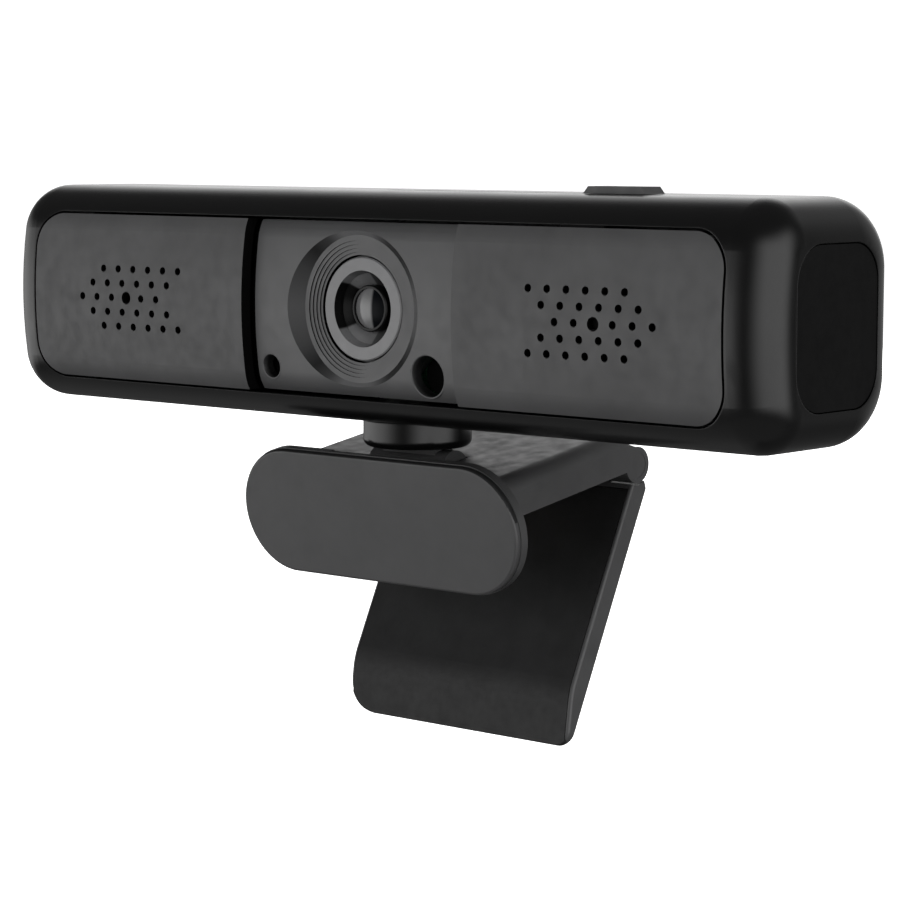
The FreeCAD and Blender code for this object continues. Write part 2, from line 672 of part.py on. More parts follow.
def tripod_insert():
    """Brass insert, open downwards."""
    insert = rod_z(INSERT_RADIUS, 0, TRIPOD_S, (ARM_BOTTOM, 4.4))
    return insert.cut(rod_z(TRIPOD_RADIUS, 0, TRIPOD_S, (ARM_BOTTOM - 0.1, ARM_BOTTOM + TRIPOD_DEPTH)))


def stadium(half_straight, radius, s):
    """Plate with round ends, centred on the front plate's axis."""
    return fuse(
        box((-half_straight, half_straight), s, (FACE_T - radius, FACE_T + radius)),
        rod_y(radius, -half_straight, s, FACE_T),
        rod_y(radius, half_straight, s, FACE_T),
    )


def front_plate():
    """Base of the front plate, scooped at the top so the neck's collar can swing past it."""
    plate = stadium(FACE_HALF_STRAIGHT, FACE_RADIUS, (SHEET_BACK, ARM_FRONT))
    s, t = tilt_axis_in_arm()
    plate = plate.cut(box((-7.2, 7.2), (s - 7.08, 0), (t + 1.7, t + 6)))
    for x in (-PLATE_SCREW_X, PLATE_SCREW_X):
        plate = plate.cut(rod_y(SCREW_RADIUS + 0.05, x, (-14, -10), PLATE_SCREW_T))
        plate = plate.cut(rod_y(SCREW_HEAD_RADIUS + 0.1, x, (-14, PLATE_SCREW_SEAT), PLATE_SCREW_T))
    return plate


def plate_screw(x):
    return fuse(
        rod_y(SCREW_RADIUS, x, (PLATE_SCREW_SEAT - 0.3, -7.2), PLATE_SCREW_T),
        rod_y(SCREW_HEAD_RADIUS, x, (SHEET_BACK + 0.02, PLATE_SCREW_SEAT - 0.02), PLATE_SCREW_T),
    )


def face_sheet():
    """Smooth facing over the front plate, with a softened front edge."""
    sheet = stadium(FACE_HALF_STRAIGHT, FACE_RADIUS - 0.12, (FACE_FRONT, SHEET_BACK))
    front = [edge for edge in sheet.Edges if abs(edge.CenterOfMass.y - FACE_FRONT) < 0.01]
    return sheet.makeFillet(0.35, front)


def front_grip_pad():
    return rounded_box((-12, 12), (ARM_FRONT, GRIP_FACE), (-7.0, -0.2), Y_AXIS, 2.5)


def tilt_pin():
    s, t = tilt_axis_in_arm()
    return rod_x(PIN_RADIUS, (-9.9, 9.9), s, t)


def hinge_pin():
    return fuse(
        rod_x(PIN_RADIUS, (-ARM_HALF + 0.8, ARM_HALF - 0.8), HINGE_S, HINGE_T),
        rod_x(HINGE_CAP_RADIUS, (ARM_HALF - 0.8, ARM_HALF - 0.05), HINGE_S, HINGE_T),
        rod_x(HINGE_CAP_RADIUS, (-ARM_HALF + 0.05, -ARM_HALF + 0.8), HINGE_S, HINGE_T),
    )


def hinge_washer(side):
    washer = rod_x(2.0, ordered(side * (HINGE_LUG_X - 0.3), side * HINGE_LUG_X), HINGE_S, HINGE_T)
    return washer.cut(rod_x(PIN_RADIUS, (-20, 20), HINGE_S, HINGE_T))


# ---------------------------------------------------------------- leg, in the leg frame
def foot_point(depth, turn):
    """Point of the bend, a depth under the leg's face, after turning by an angle."""
    reach = FOOT_BEND_RADIUS - depth
    return (LEG_FACE + FOOT_BEND_RADIUS - reach * math.cos(turn), FOOT_START - reach * math.sin(turn))


def face_line(x, depth, top, bottom):
    """The face's side view at a depth under it: straight, bent, then straight again along the foot."""
    turn = math.radians(FOOT_ANGLE)
    straight = V(x, LEG_FACE + depth, top)
    start, middle, end = [V(x, *foot_point(depth, angle)) for angle in (0, turn / 2, turn)]
    tip = V(x, end.y + (end.z - bottom) * math.tan(turn), bottom)
    return straight, tip, [line(straight, start), arc(start, middle, end), line(end, tip)]


def clip_leg():
    """Flat leg with a hinge barrel and a bent foot; the rubber facing lies in its face."""
    x = -ARM_HALF
    gap_top = -math.sqrt(LEG_GAP_RADIUS ** 2 - LEG_FACE ** 2)
    top_front, tip, face = face_line(x, 0, gap_top, LEG_TIP)
    top_back = V(x, LEG_GAP_END, -math.sqrt(LEG_GAP_RADIUS ** 2 - LEG_GAP_END ** 2))
    middle_angle = (math.atan2(top_front.z, top_front.y) + math.atan2(top_back.z, top_back.y)) / 2
    middle = V(x, LEG_GAP_RADIUS * math.cos(middle_angle), LEG_GAP_RADIUS * math.sin(middle_angle))
    shoulder = V(x, LEG_BACK, LEG_TOP)
    section = face_of(face + [
        arc(top_front, middle, top_back),
        line(top_back, shoulder),
        line(shoulder, V(x, LEG_BACK, LEG_TIP)),
        line(V(x, LEG_BACK, LEG_TIP), tip),
    ])
    leg = section.extrude(V(2 * ARM_HALF, 0, 0)).common(leg_outline())
    tip_back = [edge for edge in edges_along(leg, X_AXIS, ARM_HALF)
                if abs(edge.CenterOfMass.z - LEG_TIP) < 0.01 and edge.CenterOfMass.y > LEG_BACK - 0.01]
    leg = leg.makeFillet(TIP_ROUND, tip_back)
    face_sides = [edge for edge in leg.Edges
                  if abs(abs(edge.CenterOfMass.x) - ARM_HALF) < 0.01
                  and edge.CenterOfMass.z < -LEG_GAP_RADIUS - 1 and edge.CenterOfMass.y < LEG_BACK - TIP_ROUND]
    leg = leg.makeFillet(LEG_EDGE_ROUND, face_sides)
    barrel_half = HINGE_LUG_X - BARREL_END_GAP
    leg = fuse(
        leg,
        rod_x(HINGE_RADIUS, (-barrel_half, barrel_half), 0, 0),
        box((-barrel_half, barrel_half), (LEG_FACE, HINGE_RADIUS - 0.15), (-3.0, 0)),
    )
    recess = face_layer(-1, PAD_THICK, PAD_X + PAD_GAP, (LEG_TIP - 1, PAD_TOP + PAD_GAP))
    return cut(leg, recess, rod_x(PIN_RADIUS + RUNNING, (-20, 20), 0, 0))


def face_layer(outer, inner, half_x, z):
    """Block between two depths under the leg's face."""
    outer_top, outer_tip, outer_face = face_line(-half_x, outer, z[1], z[0])
    inner_top, inner_tip, inner_face = face_line(-half_x, inner, z[1], z[0])
    section = face_of(outer_face + inner_face + [line(outer_top, inner_top), line(outer_tip, inner_tip)])
    return section.extrude(V(2 * half_x, 0, 0))


def leg_outline():
    """The leg's outline seen from the front, as a tall block with rounded lower corners."""
    outline = box((-ARM_HALF, ARM_HALF), (-5, 5), (LEG_TIP, 2))
    for side, radius in zip((-1, 1), LEG_CORNERS):
        lower = [edge for edge in edges_along(outline, Y_AXIS)
                 if edge.CenterOfMass.z < LEG_TIP + 0.01 and edge.CenterOfMass.x * side > ARM_HALF - 0.01]
        outline = outline.makeFillet(radius, lower)
    return outline


def leg_pad():
    """Rubber facing, let into the leg and bent with it."""
    return face_layer(0, PAD_THICK, PAD_X, (LEG_TIP, PAD_TOP)).common(leg_outline())


# ---------------------------------------------------------------- assembly
def head_nodes():
    nodes = {
        "body_shell": body_shell(),
        "rear_cover": rear_cover(),
        "lens_plate": lens_plate(),
        "lens_trim_ring": lens_trim_ring(),
        "lens_barrel": lens_barrel(),
        "front_lens": front_lens(),
        "rear_lens": rear_lens(),
        "ir_filter": box((-5.0, 5.0), (16.2, 16.6), (-5.0, 5.0)),
        "lens_holder": lens_holder(),
        "image_sensor": box((-4.5, 4.5), (18.2, BOARD_FRONT), (-4.0, 4.0)),
        "camera_board": box((-12, 12), (BOARD_FRONT, BOARD_BACK), (-9.5, 9.5)),
        "main_board": box((14, 45.5), (BOARD_FRONT, BOARD_BACK), (-9, 9)),
        "controller_chip": box((28, 38), (17.8, BOARD_FRONT), (-5, 5)),
        "flex_cable": box((7, 20), (BOARD_BACK, BOARD_BACK + 0.2), (0, 7)),
        "led_board": led_board(),
        "status_led": box((LED_X - 1, LED_X + 1), (6.3, 7.0), (LED_Z - 1, LED_Z + 1)),
        "led_window": rod_y(LED_WINDOW_RADIUS, LED_X, (4.2, 6.2), LED_Z),
        "light_sensor": box((SENSOR_X - 1.5, SENSOR_X + 1.5), (6.2, 7.0), (SENSOR_Z - 1.5, SENSOR_Z + 1.5)),
        "sensor_window": rod_y(SENSOR_WINDOW_RADIUS, SENSOR_X, (4.4, 6.1), SENSOR_Z),
        "cable_grommet": cable_grommet(),
        "pan_bush": pan_bush(),
        "shutter_plate": shutter_plate(),
        "shutter_knob": shutter_knob(),
        "tilt_knuckle": tilt_knuckle(),
        "neck_collar": neck_collar(),
        "swivel_washer": swivel_washer(),
        "swivel_screw": swivel_screw(),
    }
    for name, side in (("left", -1), ("right", 1)):
        nodes["end_cap_" + name] = end_cap(side)
        nodes["grille_panel_" + name] = grille_panel(side)
        nodes["microphone_boot_" + name] = microphone_boot(side)
        nodes["microphone_" + name] = rod_y(MIC_RADIUS, side * MIC_X, (MIC_BACK - 2.6, MIC_BACK), 0)
    corners = [(x, z) for x in (-SCREW_X, SCREW_X) for z in (-SCREW_Z, SCREW_Z)]
    for number, (x, z) in enumerate(corners, 1):
        nodes["cover_screw_%d" % number] = cover_screw(x, z)
    return nodes


def arm_nodes():
    nodes = {
        "clip_arm": clip_arm(),
        "arm_base_plate": arm_base_plate(),
        "arm_grip_pad": arm_grip_pad(),
        "tripod_insert": tripod_insert(),
        "front_plate": front_plate(),
        "face_sheet": face_sheet(),
        "front_grip_pad": front_grip_pad(),
        "tilt_pin": tilt_pin(),
        "hinge_pin": hinge_pin(),
    }
    for name, side in (("left", -1), ("right", 1)):
        nodes["base_screw_" + name] = base_screw(side * BASE_SCREW_X)
        nodes["plate_screw_" + name] = plate_screw(side * PLATE_SCREW_X)
        nodes["hinge_washer_" + name] = hinge_washer(side)
    return nodes


def main():
    os.makedirs("parts", exist_ok=True)
    placed = {}
    for name, shape in head_nodes().items():
        placed[name] = from_head(shape)
    for name, shape in arm_nodes().items():
        placed[name] = from_arm(shape)
    for name, shape in (("clip_leg", clip_leg()), ("leg_pad", leg_pad())):
        placed[name] = from_leg(shape)
    for name, shape in sorted(placed.items()):
        shape.exportStep("parts/%s.step" % name)
        print("%-24s solids %d valid %s" % (name, len(shape.Solids), shape.isValid()))


main()
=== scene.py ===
"""Looks for the clip-on webcam: materials, fine detail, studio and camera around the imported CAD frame."""

import json
import math

import bmesh
import bpy
from mathutils import Matrix, Vector


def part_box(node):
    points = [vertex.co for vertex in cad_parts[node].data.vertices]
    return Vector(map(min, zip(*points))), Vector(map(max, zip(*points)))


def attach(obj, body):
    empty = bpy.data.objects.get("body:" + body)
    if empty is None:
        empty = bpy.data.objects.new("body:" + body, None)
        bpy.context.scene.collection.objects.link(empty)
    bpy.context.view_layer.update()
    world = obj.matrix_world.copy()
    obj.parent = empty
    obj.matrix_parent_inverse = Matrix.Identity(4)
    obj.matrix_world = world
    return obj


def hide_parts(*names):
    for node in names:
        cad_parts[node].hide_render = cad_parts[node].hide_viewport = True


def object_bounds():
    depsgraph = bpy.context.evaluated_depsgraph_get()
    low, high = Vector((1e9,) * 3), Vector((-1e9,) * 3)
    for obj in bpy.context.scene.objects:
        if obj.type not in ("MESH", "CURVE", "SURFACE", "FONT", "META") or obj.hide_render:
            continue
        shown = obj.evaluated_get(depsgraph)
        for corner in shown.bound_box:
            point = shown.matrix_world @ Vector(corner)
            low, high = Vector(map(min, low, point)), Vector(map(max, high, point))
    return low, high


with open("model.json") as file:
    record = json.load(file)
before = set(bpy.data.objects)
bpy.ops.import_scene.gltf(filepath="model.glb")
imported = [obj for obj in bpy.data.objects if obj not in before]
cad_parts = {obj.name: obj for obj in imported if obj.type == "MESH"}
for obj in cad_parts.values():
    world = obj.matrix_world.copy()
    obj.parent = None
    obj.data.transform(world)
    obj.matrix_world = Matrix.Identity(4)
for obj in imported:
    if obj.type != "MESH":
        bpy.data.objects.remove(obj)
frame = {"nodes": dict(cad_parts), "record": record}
CAD_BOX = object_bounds()
NODES = frame["nodes"]
MM = 0.001


def middle(node):
    """Centre of a CAD node's box."""
    low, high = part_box(node)
    return (low + high) / 2


LENS_AXIS = middle("lens_trim_ring")


# ---------------------------------------------------------------- material building blocks
class Shader:
    """A material with a Principled shader and short helpers for its nodes."""

    def __init__(self, name):
        self.material = bpy.data.materials.new(name)
        self.material.use_nodes = True
        self.tree = self.material.node_tree
        self.surface = self.tree.nodes["Principled BSDF"]
        self.place = self.add("ShaderNodeTexCoord").outputs["Object"]

    def add(self, kind, **values):
        node = self.tree.nodes.new(kind)
        for key, value in values.items():
            setattr(node, key, value)
        return node

    def link(self, source, target):
        self.tree.links.new(source, target)

    def set(self, **values):
        """Sets sockets of the surface; underscores stand for spaces."""
        for key, value in values.items():
            self.surface.inputs[key.replace("_", " ")].default_value = value

    def noise(self, size, detail=2.0):
        """Noise whose features are about size millimetres across."""
        node = self.add("ShaderNodeTexNoise")
        node.inputs["Scale"].default_value = 1 / (size * MM)
        node.inputs["Detail"].default_value = detail
        self.link(self.place, node.inputs["Vector"])
        return node.outputs["Fac"]

    def cells(self, size):
        """Distance to the nearest cell point, cells about size millimetres across."""
        node = self.add("ShaderNodeTexVoronoi", feature="F1")
        node.inputs["Scale"].default_value = 1 / (size * MM)
        self.link(self.place, node.inputs["Vector"])
        return node.outputs["Distance"]

    def math(self, operation, *inputs):
        """Math node; each input is a socket or a number."""
        node = self.add("ShaderNodeMath", operation=operation)
        for socket, value in zip(node.inputs, inputs):
            if isinstance(value, (int, float)):
                socket.default_value = value
            else:
                self.link(value, socket)
        return node.outputs["Value"]

    def shifted(self, origin):
        """Object coordinates measured from a point, as X, Y and Z sockets in millimetres."""
        node = self.add("ShaderNodeVectorMath", operation="MULTIPLY_ADD")
        self.link(self.place, node.inputs[0])
        node.inputs[1].default_value = (1 / MM,) * 3
        node.inputs[2].default_value = tuple(-origin / MM)
        split = self.add("ShaderNodeSeparateXYZ")
        self.link(node.outputs["Vector"], split.inputs["Vector"])
        return split.outputs

    def turn(self, x, z):
        """Share of a full turn round the lens axis: 0 at the left, 0.25 below, 0.5 at the right."""
        return self.ramp(self.math("ARCTAN2", z, x), 0.0, 1.0, -math.pi, math.pi)

    def stops(self, source, tones):
        """Greys at positions along a value, fed to the base colour."""
        node = self.add("ShaderNodeValToRGB")
        ramp = node.color_ramp
        for _ in tones[2:]:
            ramp.elements.new(0.5)
        for stop, (position, tone) in zip(ramp.elements, sorted(tones)):
            stop.position = position
            stop.color = (*grey(tone), 1)
        self.link(source, node.inputs["Fac"])
        self.link(node.outputs["Color"], self.surface.inputs["Base Color"])

    def soft_edges(self, radius):
        """Rounds the shading of sharp edges."""
        node = self.add("ShaderNodeBevel", samples=4)
        node.inputs["Radius"].default_value = radius * MM
        target = self.surface.inputs["Normal"]
        if target.is_linked:
            first = target.links[0].from_node
            while first.inputs["Normal"].is_linked:
                first = first.inputs["Normal"].links[0].from_node
            target = first.inputs["Normal"]
        self.link(node.outputs["Normal"], target)

    def ramp(self, source, low, high, start=0.3, end=0.7):
        """Maps a value onto a range."""
        node = self.add("ShaderNodeMapRange")
        for socket, value in (("From Min", start), ("From Max", end), ("To Min", low), ("To Max", high)):
            node.inputs[socket].default_value = value
        self.link(source, node.inputs["Value"])
        return node.outputs["Result"]

    def tint(self, source, dark, light, start=0.3, end=0.7):
        """Blends two colours by a value and feeds the base colour."""
        node = self.add("ShaderNodeValToRGB")
        for stop, position, colour in zip(node.color_ramp.elements, (start, end), (dark, light)):
            stop.position = position
            stop.color = (*colour, 1)
        self.link(source, node.inputs["Fac"])
        self.link(node.outputs["Color"], self.surface.inputs["Base Color"])

    def sheen(self, source, low, high, start=0.3, end=0.7):
        """Drives the roughness by a value."""
        self.link(self.ramp(source, low, high, start, end), self.surface.inputs["Roughness"])

    def bump(self, height, depth):
        """Adds relief of a depth in millimetres, on top of any that is there."""
        node = self.add("ShaderNodeBump")
        node.inputs["Strength"].default_value = 1.0
        node.inputs["Distance"].default_value = depth * MM
        self.link(height, node.inputs["Height"])
        target = self.surface.inputs["Normal"]
        if target.is_linked:
            self.link(target.links[0].from_socket, node.inputs["Normal"])
        self.link(node.outputs["Normal"], target)


def grey(value, blue=1.02):
    return (value, value, value * blue)


def moulded(name, tone, roughness, grain, depth, spread=0.1, specular=0.5):
    """Moulded plastic: faint cloudy tone, spark-eroded grain and uneven sheen."""
    shader = Shader(name)
    cloud = shader.noise(7.0)
    shader.tint(cloud, grey(tone * (1 - spread)), grey(tone * (1 + spread)))
    shader.sheen(shader.noise(1.7), roughness * 0.85, roughness * 1.15)
    shader.bump(shader.noise(grain), depth)
    shader.set(Specular_IOR_Level=specular)
    return shader.material


def gloss_plastic(name, tone, roughness):
    """Piano-black housing: deep colour, faint orange peel and a few dust-fine marks in the sheen."""
    shader = Shader(name)
    shader.tint(shader.noise(12.0), grey(tone * 0.9), grey(tone * 1.1))
    shader.sheen(shader.noise(5.0, 4.0), roughness * 0.92, roughness * 1.12)
    shader.bump(shader.noise(2.4), 0.0012)
    shader.bump(shader.noise(0.35), 0.0002)
    shader.soft_edges(0.18)
    return shader.material


def turned(name, tone, roughness, pitch, depth, specular=0.5):
    """Lathe-turned face: fine rings round the lens axis."""
    shader = Shader(name)
    x, _, z = shader.shifted(LENS_AXIS)
    squares = shader.math("ADD", shader.math("MULTIPLY", x, x), shader.math("MULTIPLY", z, z))
    radius = shader.math("SQRT", squares)
    rings = shader.math("SINE", shader.math("MULTIPLY", radius, 2 * math.pi / pitch))
    shader.tint(shader.noise(2.0), grey(tone * 0.94), grey(tone * 1.06))
    shader.sheen(shader.noise(0.8), roughness * 0.9, roughness * 1.1)
    shader.bump(rings, depth)
    shader.set(Specular_IOR_Level=specular)
    return shader.material


def painted_light_sectors(name, tones, roughness, specular):
    """Surface painted in grey sectors round the lens axis, to imitate reflections and shade: painted
    highlights and painted shade.
    """
    shader = Shader(name)
    x, _, z = shader.shifted(LENS_AXIS)
    shader.stops(shader.turn(x, z), tones)
    shader.sheen(shader.noise(0.6), roughness * 0.9, roughness * 1.1)
    shader.bump(shader.noise(0.5), 0.0006)
    shader.set(Specular_IOR_Level=specular)
    return shader.material


def window_plate(name, tone, roughness, half_width, shade):
    """Satin plate, painted black behind the grilles, with a painted shadow strip shade millimetres wide at
    the left, where the grille panel's shadow falls.
    """
    shader = Shader(name)
    x, _, _ = shader.shifted(LENS_AXIS)
    off_middle = shader.math("ABSOLUTE", shader.math("SUBTRACT", x, shade / 2))
    # black behind the grilles, and a painted shadow strip at the plate's left edge, with a low specular level
    grille_black_and_painted_shadow = shader.math("GREATER_THAN", off_middle, half_width - shade / 2)
    cloud = shader.ramp(shader.noise(7.0), tone * 0.94, tone * 1.06)
    shown = shader.math("MULTIPLY", cloud, shader.math("SUBTRACT", 1.0, grille_black_and_painted_shadow))
    tint = shader.add("ShaderNodeCombineColor")
    for channel, share in (("Red", 1.0), ("Green", 1.0), ("Blue", 1.02)):
        shader.link(shader.math("MULTIPLY", shown, share), tint.inputs[channel])
    shader.link(tint.outputs["Color"], shader.surface.inputs["Base Color"])
    shader.link(shader.math("SUBTRACT", 0.5, shader.math("MULTIPLY", grille_black_and_painted_shadow, 0.45)),
                shader.surface.inputs["Specular IOR Level"])
    shader.sheen(shader.noise(1.7), roughness * 0.85, roughness * 1.15)
    shader.bump(shader.noise(0.14), 0.002)
    return shader.material


def painted_reflection_glass(name):
    """Front glass over a black chamber; its left half is painted pale and given a stronger specular level, to
    imitate a reflection.
    """
    shader = Shader(name)
    side, _, _ = shader.shifted(LENS_AXIS)
    # painted reflection: pale base colour at the left, near black at the right, and a specular level that
    # falls from left to right
    shader.tint(side, (0.12, 0.12, 0.122), (0.003, 0.0035, 0.0045), 0.25, 0.6)
    painted_reflection_specular = shader.ramp(side, 0.18, 0.02, 0.1, 0.55)
    shader.link(painted_reflection_specular, shader.surface.inputs["Specular IOR Level"])
    shader.sheen(shader.noise(0.6), 0.05, 0.08)
    shader.bump(shader.noise(1.5), 0.0003)
    shader.set(IOR=2.2)
    return shader.material


def rubber(name, tone, roughness):
    """Soft rubber: matt, finely pitted, a little dusty."""
    shader = Shader(name)
    shader.tint(shader.noise(4.0), grey(tone * 0.85), grey(tone * 1.15))
    shader.sheen(shader.noise(0.9), roughness * 0.9, roughness * 1.08)
    shader.bump(shader.cells(0.22), 0.004)
    shader.set(Specular_IOR_Level=0.35)
    return shader.material


def metal(name, colour, roughness, marks):
    """Bare metal with fine drawn marks along X."""
    shader = Shader(name)
    node = shader.add("ShaderNodeTexNoise")
    stretch = shader.add("ShaderNodeMapping")
    stretch.inputs["Scale"].default_value = (0.15, 1.0, 1.0)
    shader.link(shader.place, stretch.inputs["Vector"])
    shader.link(stretch.outputs["Vector"], node.inputs["Vector"])
    node.inputs["Scale"].default_value = 1 / (marks * MM)
    node.inputs["Detail"].default_value = 3.0
    dark = tuple(value * 0.85 for value in colour)
    shader.tint(node.outputs["Fac"], dark, colour)
    shader.sheen(node.outputs["Fac"], roughness * 0.8, roughness * 1.25)
    shader.bump(node.outputs["Fac"], 0.003)
    shader.set(Metallic=1.0)
    return shader.material


def circuit_board(name):
    """Green solder mask with copper tracks showing faintly under it."""
    shader = Shader(name)
    bricks = shader.add("ShaderNodeTexBrick")
    turn = shader.add("ShaderNodeMapping")
    turn.inputs["Rotation"].default_value = (math.pi / 2, 0, 0)
    shader.link(shader.place, turn.inputs["Vector"])
    shader.link(turn.outputs["Vector"], bricks.inputs["Vector"])
    bricks.inputs["Scale"].default_value = 900.0
    bricks.inputs["Color1"].default_value = (0.008, 0.075, 0.03, 1)
    bricks.inputs["Color2"].default_value = (0.012, 0.1, 0.04, 1)
    bricks.inputs["Mortar"].default_value = (0.03, 0.16, 0.06, 1)
    bricks.inputs["Mortar Size"].default_value = 0.04
    shader.link(bricks.outputs["Color"], shader.surface.inputs["Base Color"])
    shader.bump(bricks.outputs["Fac"], 0.01)
    shader.sheen(shader.noise(2.0), 0.3, 0.42)
    return shader.material


def flexible_film(name):
    shader = Shader(name)
    x, _, _ = shader.shifted(LENS_AXIS)
    tracks = shader.math("SINE", shader.math("MULTIPLY", x, 2 * math.pi / 0.8))
    shader.tint(tracks, (0.22, 0.09, 0.012), (0.35, 0.16, 0.03), 0.4, 0.6)
    shader.bump(tracks, 0.01)
    shader.sheen(shader.noise(1.2), 0.25, 0.35)
    return shader.material


# painted reflections and painted shade round the lens axis, as (turn, grey); turns as in Shader.turn
CONE_PAINTED_LIGHT = (
    (0.0, 0.003), (0.09, 0.004), (0.1, 0.1), (0.18, 0.13), (0.262, 0.12), (0.268, 0.05), (0.36, 0.02),
    (0.5, 0.008), (0.68, 0.015), (0.744, 0.03), (0.75, 0.09), (0.84, 0.11), (0.878, 0.08), (0.885, 0.004),
    (1.0, 0.003),
)
DISH_PAINTED_LIGHT = (
    (0.0, 0.04), (0.08, 0.028), (0.13, 0.011), (0.17, 0.03), (0.21, 0.08), (0.29, 0.08), (0.34, 0.02),
    (0.39, 0.002), (0.43, 0.02), (0.47, 0.06), (0.53, 0.06), (0.57, 0.02), (0.61, 0.002), (0.66, 0.02),
    (0.71, 0.1), (0.79, 0.1), (0.83, 0.03), (0.87, 0.011), (0.92, 0.028), (1.0, 0.04),
)
WINDOW_HALF = (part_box("grille_panel_right")[0].x - middle("lens_plate").x) / MM
PLATE_PAINTED_SHADOW = 0.9               # width of the painted shadow strip at the left of the lens plate

MATERIALS = {
    "housing_gloss": gloss_plastic("housing_gloss", 0.0035, 0.24),
    "panel_satin": moulded("panel_satin", 0.046, 0.5, 0.16, 0.0025),
    # plate_satin carries a painted shadow strip along its left edge
    "plate_satin": window_plate("plate_satin", 0.062, 0.42, WINDOW_HALF, PLATE_PAINTED_SHADOW),
    "inset_matt": moulded("inset_matt", 0.003, 0.6, 0.2, 0.004, specular=0.12),
    "ring_grey": turned("ring_grey", 0.145, 0.36, 0.11, 0.0006),
    "lens_black": moulded("lens_black", 0.004, 0.35, 0.2, 0.001, specular=0.3),
    # lens_cone and dish_wall carry painted reflections and painted shade in sectors round the lens axis
    "lens_cone": painted_light_sectors("lens_cone", CONE_PAINTED_LIGHT, 0.3, 0.12),
    "dish_wall": painted_light_sectors("dish_wall", DISH_PAINTED_LIGHT, 0.4, 0.25),
    "optical_glass": painted_reflection_glass("optical_glass"),
    "clip_satin": moulded("clip_satin", 0.042, 0.45, 0.16, 0.0014, spread=0.05),
    # clip_edge: a darker copy of the clip plastic, painted shade on the faces of the face sheet that tilt
    # upwards
    "clip_edge": moulded("clip_edge", 0.012, 0.5, 0.16, 0.002, specular=0.25),
    "rubber_black": rubber("rubber_black", 0.012, 0.55),
    # port_wall: a darker copy of the plate plastic, painted shade on the walls of the ports
    "port_wall": moulded("port_wall", 0.022, 0.4, 0.2, 0.001, specular=0.4),
    # gap_black: near black, painted shade on walls in gaps, holes and grooves; the LED and sensor windows
    # take it too
    "gap_black": moulded("gap_black", 0.0015, 0.8, 0.3, 0.004, specular=0.05),
    "board_green": circuit_board("board_green"),
    "chip_black": moulded("chip_black", 0.015, 0.5, 0.12, 0.004),
    "flex_amber": flexible_film("flex_amber"),
    "led_clear": moulded("led_clear", 0.6, 0.18, 0.8, 0.001),
    "mic_metal": metal("mic_metal", (0.75, 0.75, 0.77), 0.3, 0.15),
    "steel_screw": metal("steel_screw", (0.35, 0.35, 0.36), 0.32, 0.1),
    "acetal_black": moulded("acetal_black", 0.012, 0.4, 0.3, 0.002),
    "brass_insert": metal("brass_insert", (0.72, 0.5, 0.2), 0.28, 0.12),
}
OVERRIDES = {"led_window": "gap_black", "sensor_window": "gap_black"}


def finish_node(name, slot):
    """Gives a CAD node its material."""
    data = NODES[name].data
    data.materials.clear()
    data.materials.append(MATERIALS[OVERRIDES.get(name, slot)])


def paint_faces(name, slot, chosen):
    """Gives another material to the faces of a CAD node that a test picks by centre and normal."""
    data = NODES[name].data
    data.materials.append(MATERIALS[slot])
    for face in data.polygons:
        if chosen(face.center, face.normal):
            face.material_index = len(data.materials) - 1


def from_lens(point):
    """Distance from the lens axis in millimetres."""
    return math.hypot(point.x - LENS_AXIS.x, point.z - LENS_AXIS.z) / MM


def facing_in(point, normal):
    """How far a normal points towards the lens axis."""
    across = Vector((point.x - LENS_AXIS.x, 0, point.z - LENS_AXIS.z)).normalized()
    return -across.dot(normal)


PORT_REACH = 2.8 * MM           # every port wall lies nearer than this to its port's centre


def near_port(point, normal):
    """Walls of the two small ports beside the lens."""
    return abs(normal.y) < 0.3 and any(
        math.hypot(point.x - middle(name).x, point.z - middle(name).z) < PORT_REACH
        for name in ("led_window", "sensor_window"))


for part in frame["record"]["subparts"]:
    finish_node(part["node"], part["material_slot"])
# the side walls and hole walls of the grille panels are painted near black as shade
for side in ("left", "right"):
    paint_faces("grille_panel_" + side, "gap_black",
                lambda point, normal: abs(normal.x) > 0.6 or abs(normal.z) > 0.9)
# the inner faces of the trim ring and the lens barrel take painted reflections and painted shade in sectors
paint_faces("lens_trim_ring", "lens_cone", lambda point, normal: facing_in(point, normal) > 0.3)
paint_faces("lens_barrel", "lens_cone",
            lambda point, normal: facing_in(point, normal) > 0.3 and normal.y < -0.3)
# the dish wall of the lens plate takes painted reflections and painted shade in sectors
paint_faces("lens_plate", "dish_wall", lambda point, normal: 8.6 < from_lens(point) < 10.8
            and facing_in(point, normal) > 0.3 and normal.y < -0.3)
# the groove walls round the lens ring are painted near black as shade
paint_faces("lens_plate", "gap_black", lambda point, normal: 6.3 < from_lens(point) < 8.3
            and facing_in(point, normal) > 0.7)
# the walls of the two ports are painted darker, as shade
paint_faces("lens_plate", "port_wall", near_port)
# faces of the face sheet that tilt upwards take a darker copy of the clip plastic: painted shade
paint_faces("face_sheet", "clip_edge", lambda point, normal: abs(normal.y) < 0.9 and normal.z > 0.2)


CROWN_RADIUS = 54.7 * MM
RIM_SIDES = 64


def crown(z):
    """How far a parabola of the front's crown lies back; the real front rounds away faster near its edges."""
    return (z - LENS_AXIS.z) ** 2 / (2 * CROWN_RADIUS)


def add_piece(name, mesh, body, *slots):
    """Turns a mesh into a piece that rides on a body, with the slots as its materials in order."""
    data = bpy.data.meshes.new(name)
    mesh.to_mesh(data)
    mesh.free()
    piece = bpy.data.objects.new(name, data)
    bpy.context.scene.collection.objects.link(piece)
    for slot in slots:
        data.materials.append(MATERIALS[slot])
    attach(piece, body)
    return piece


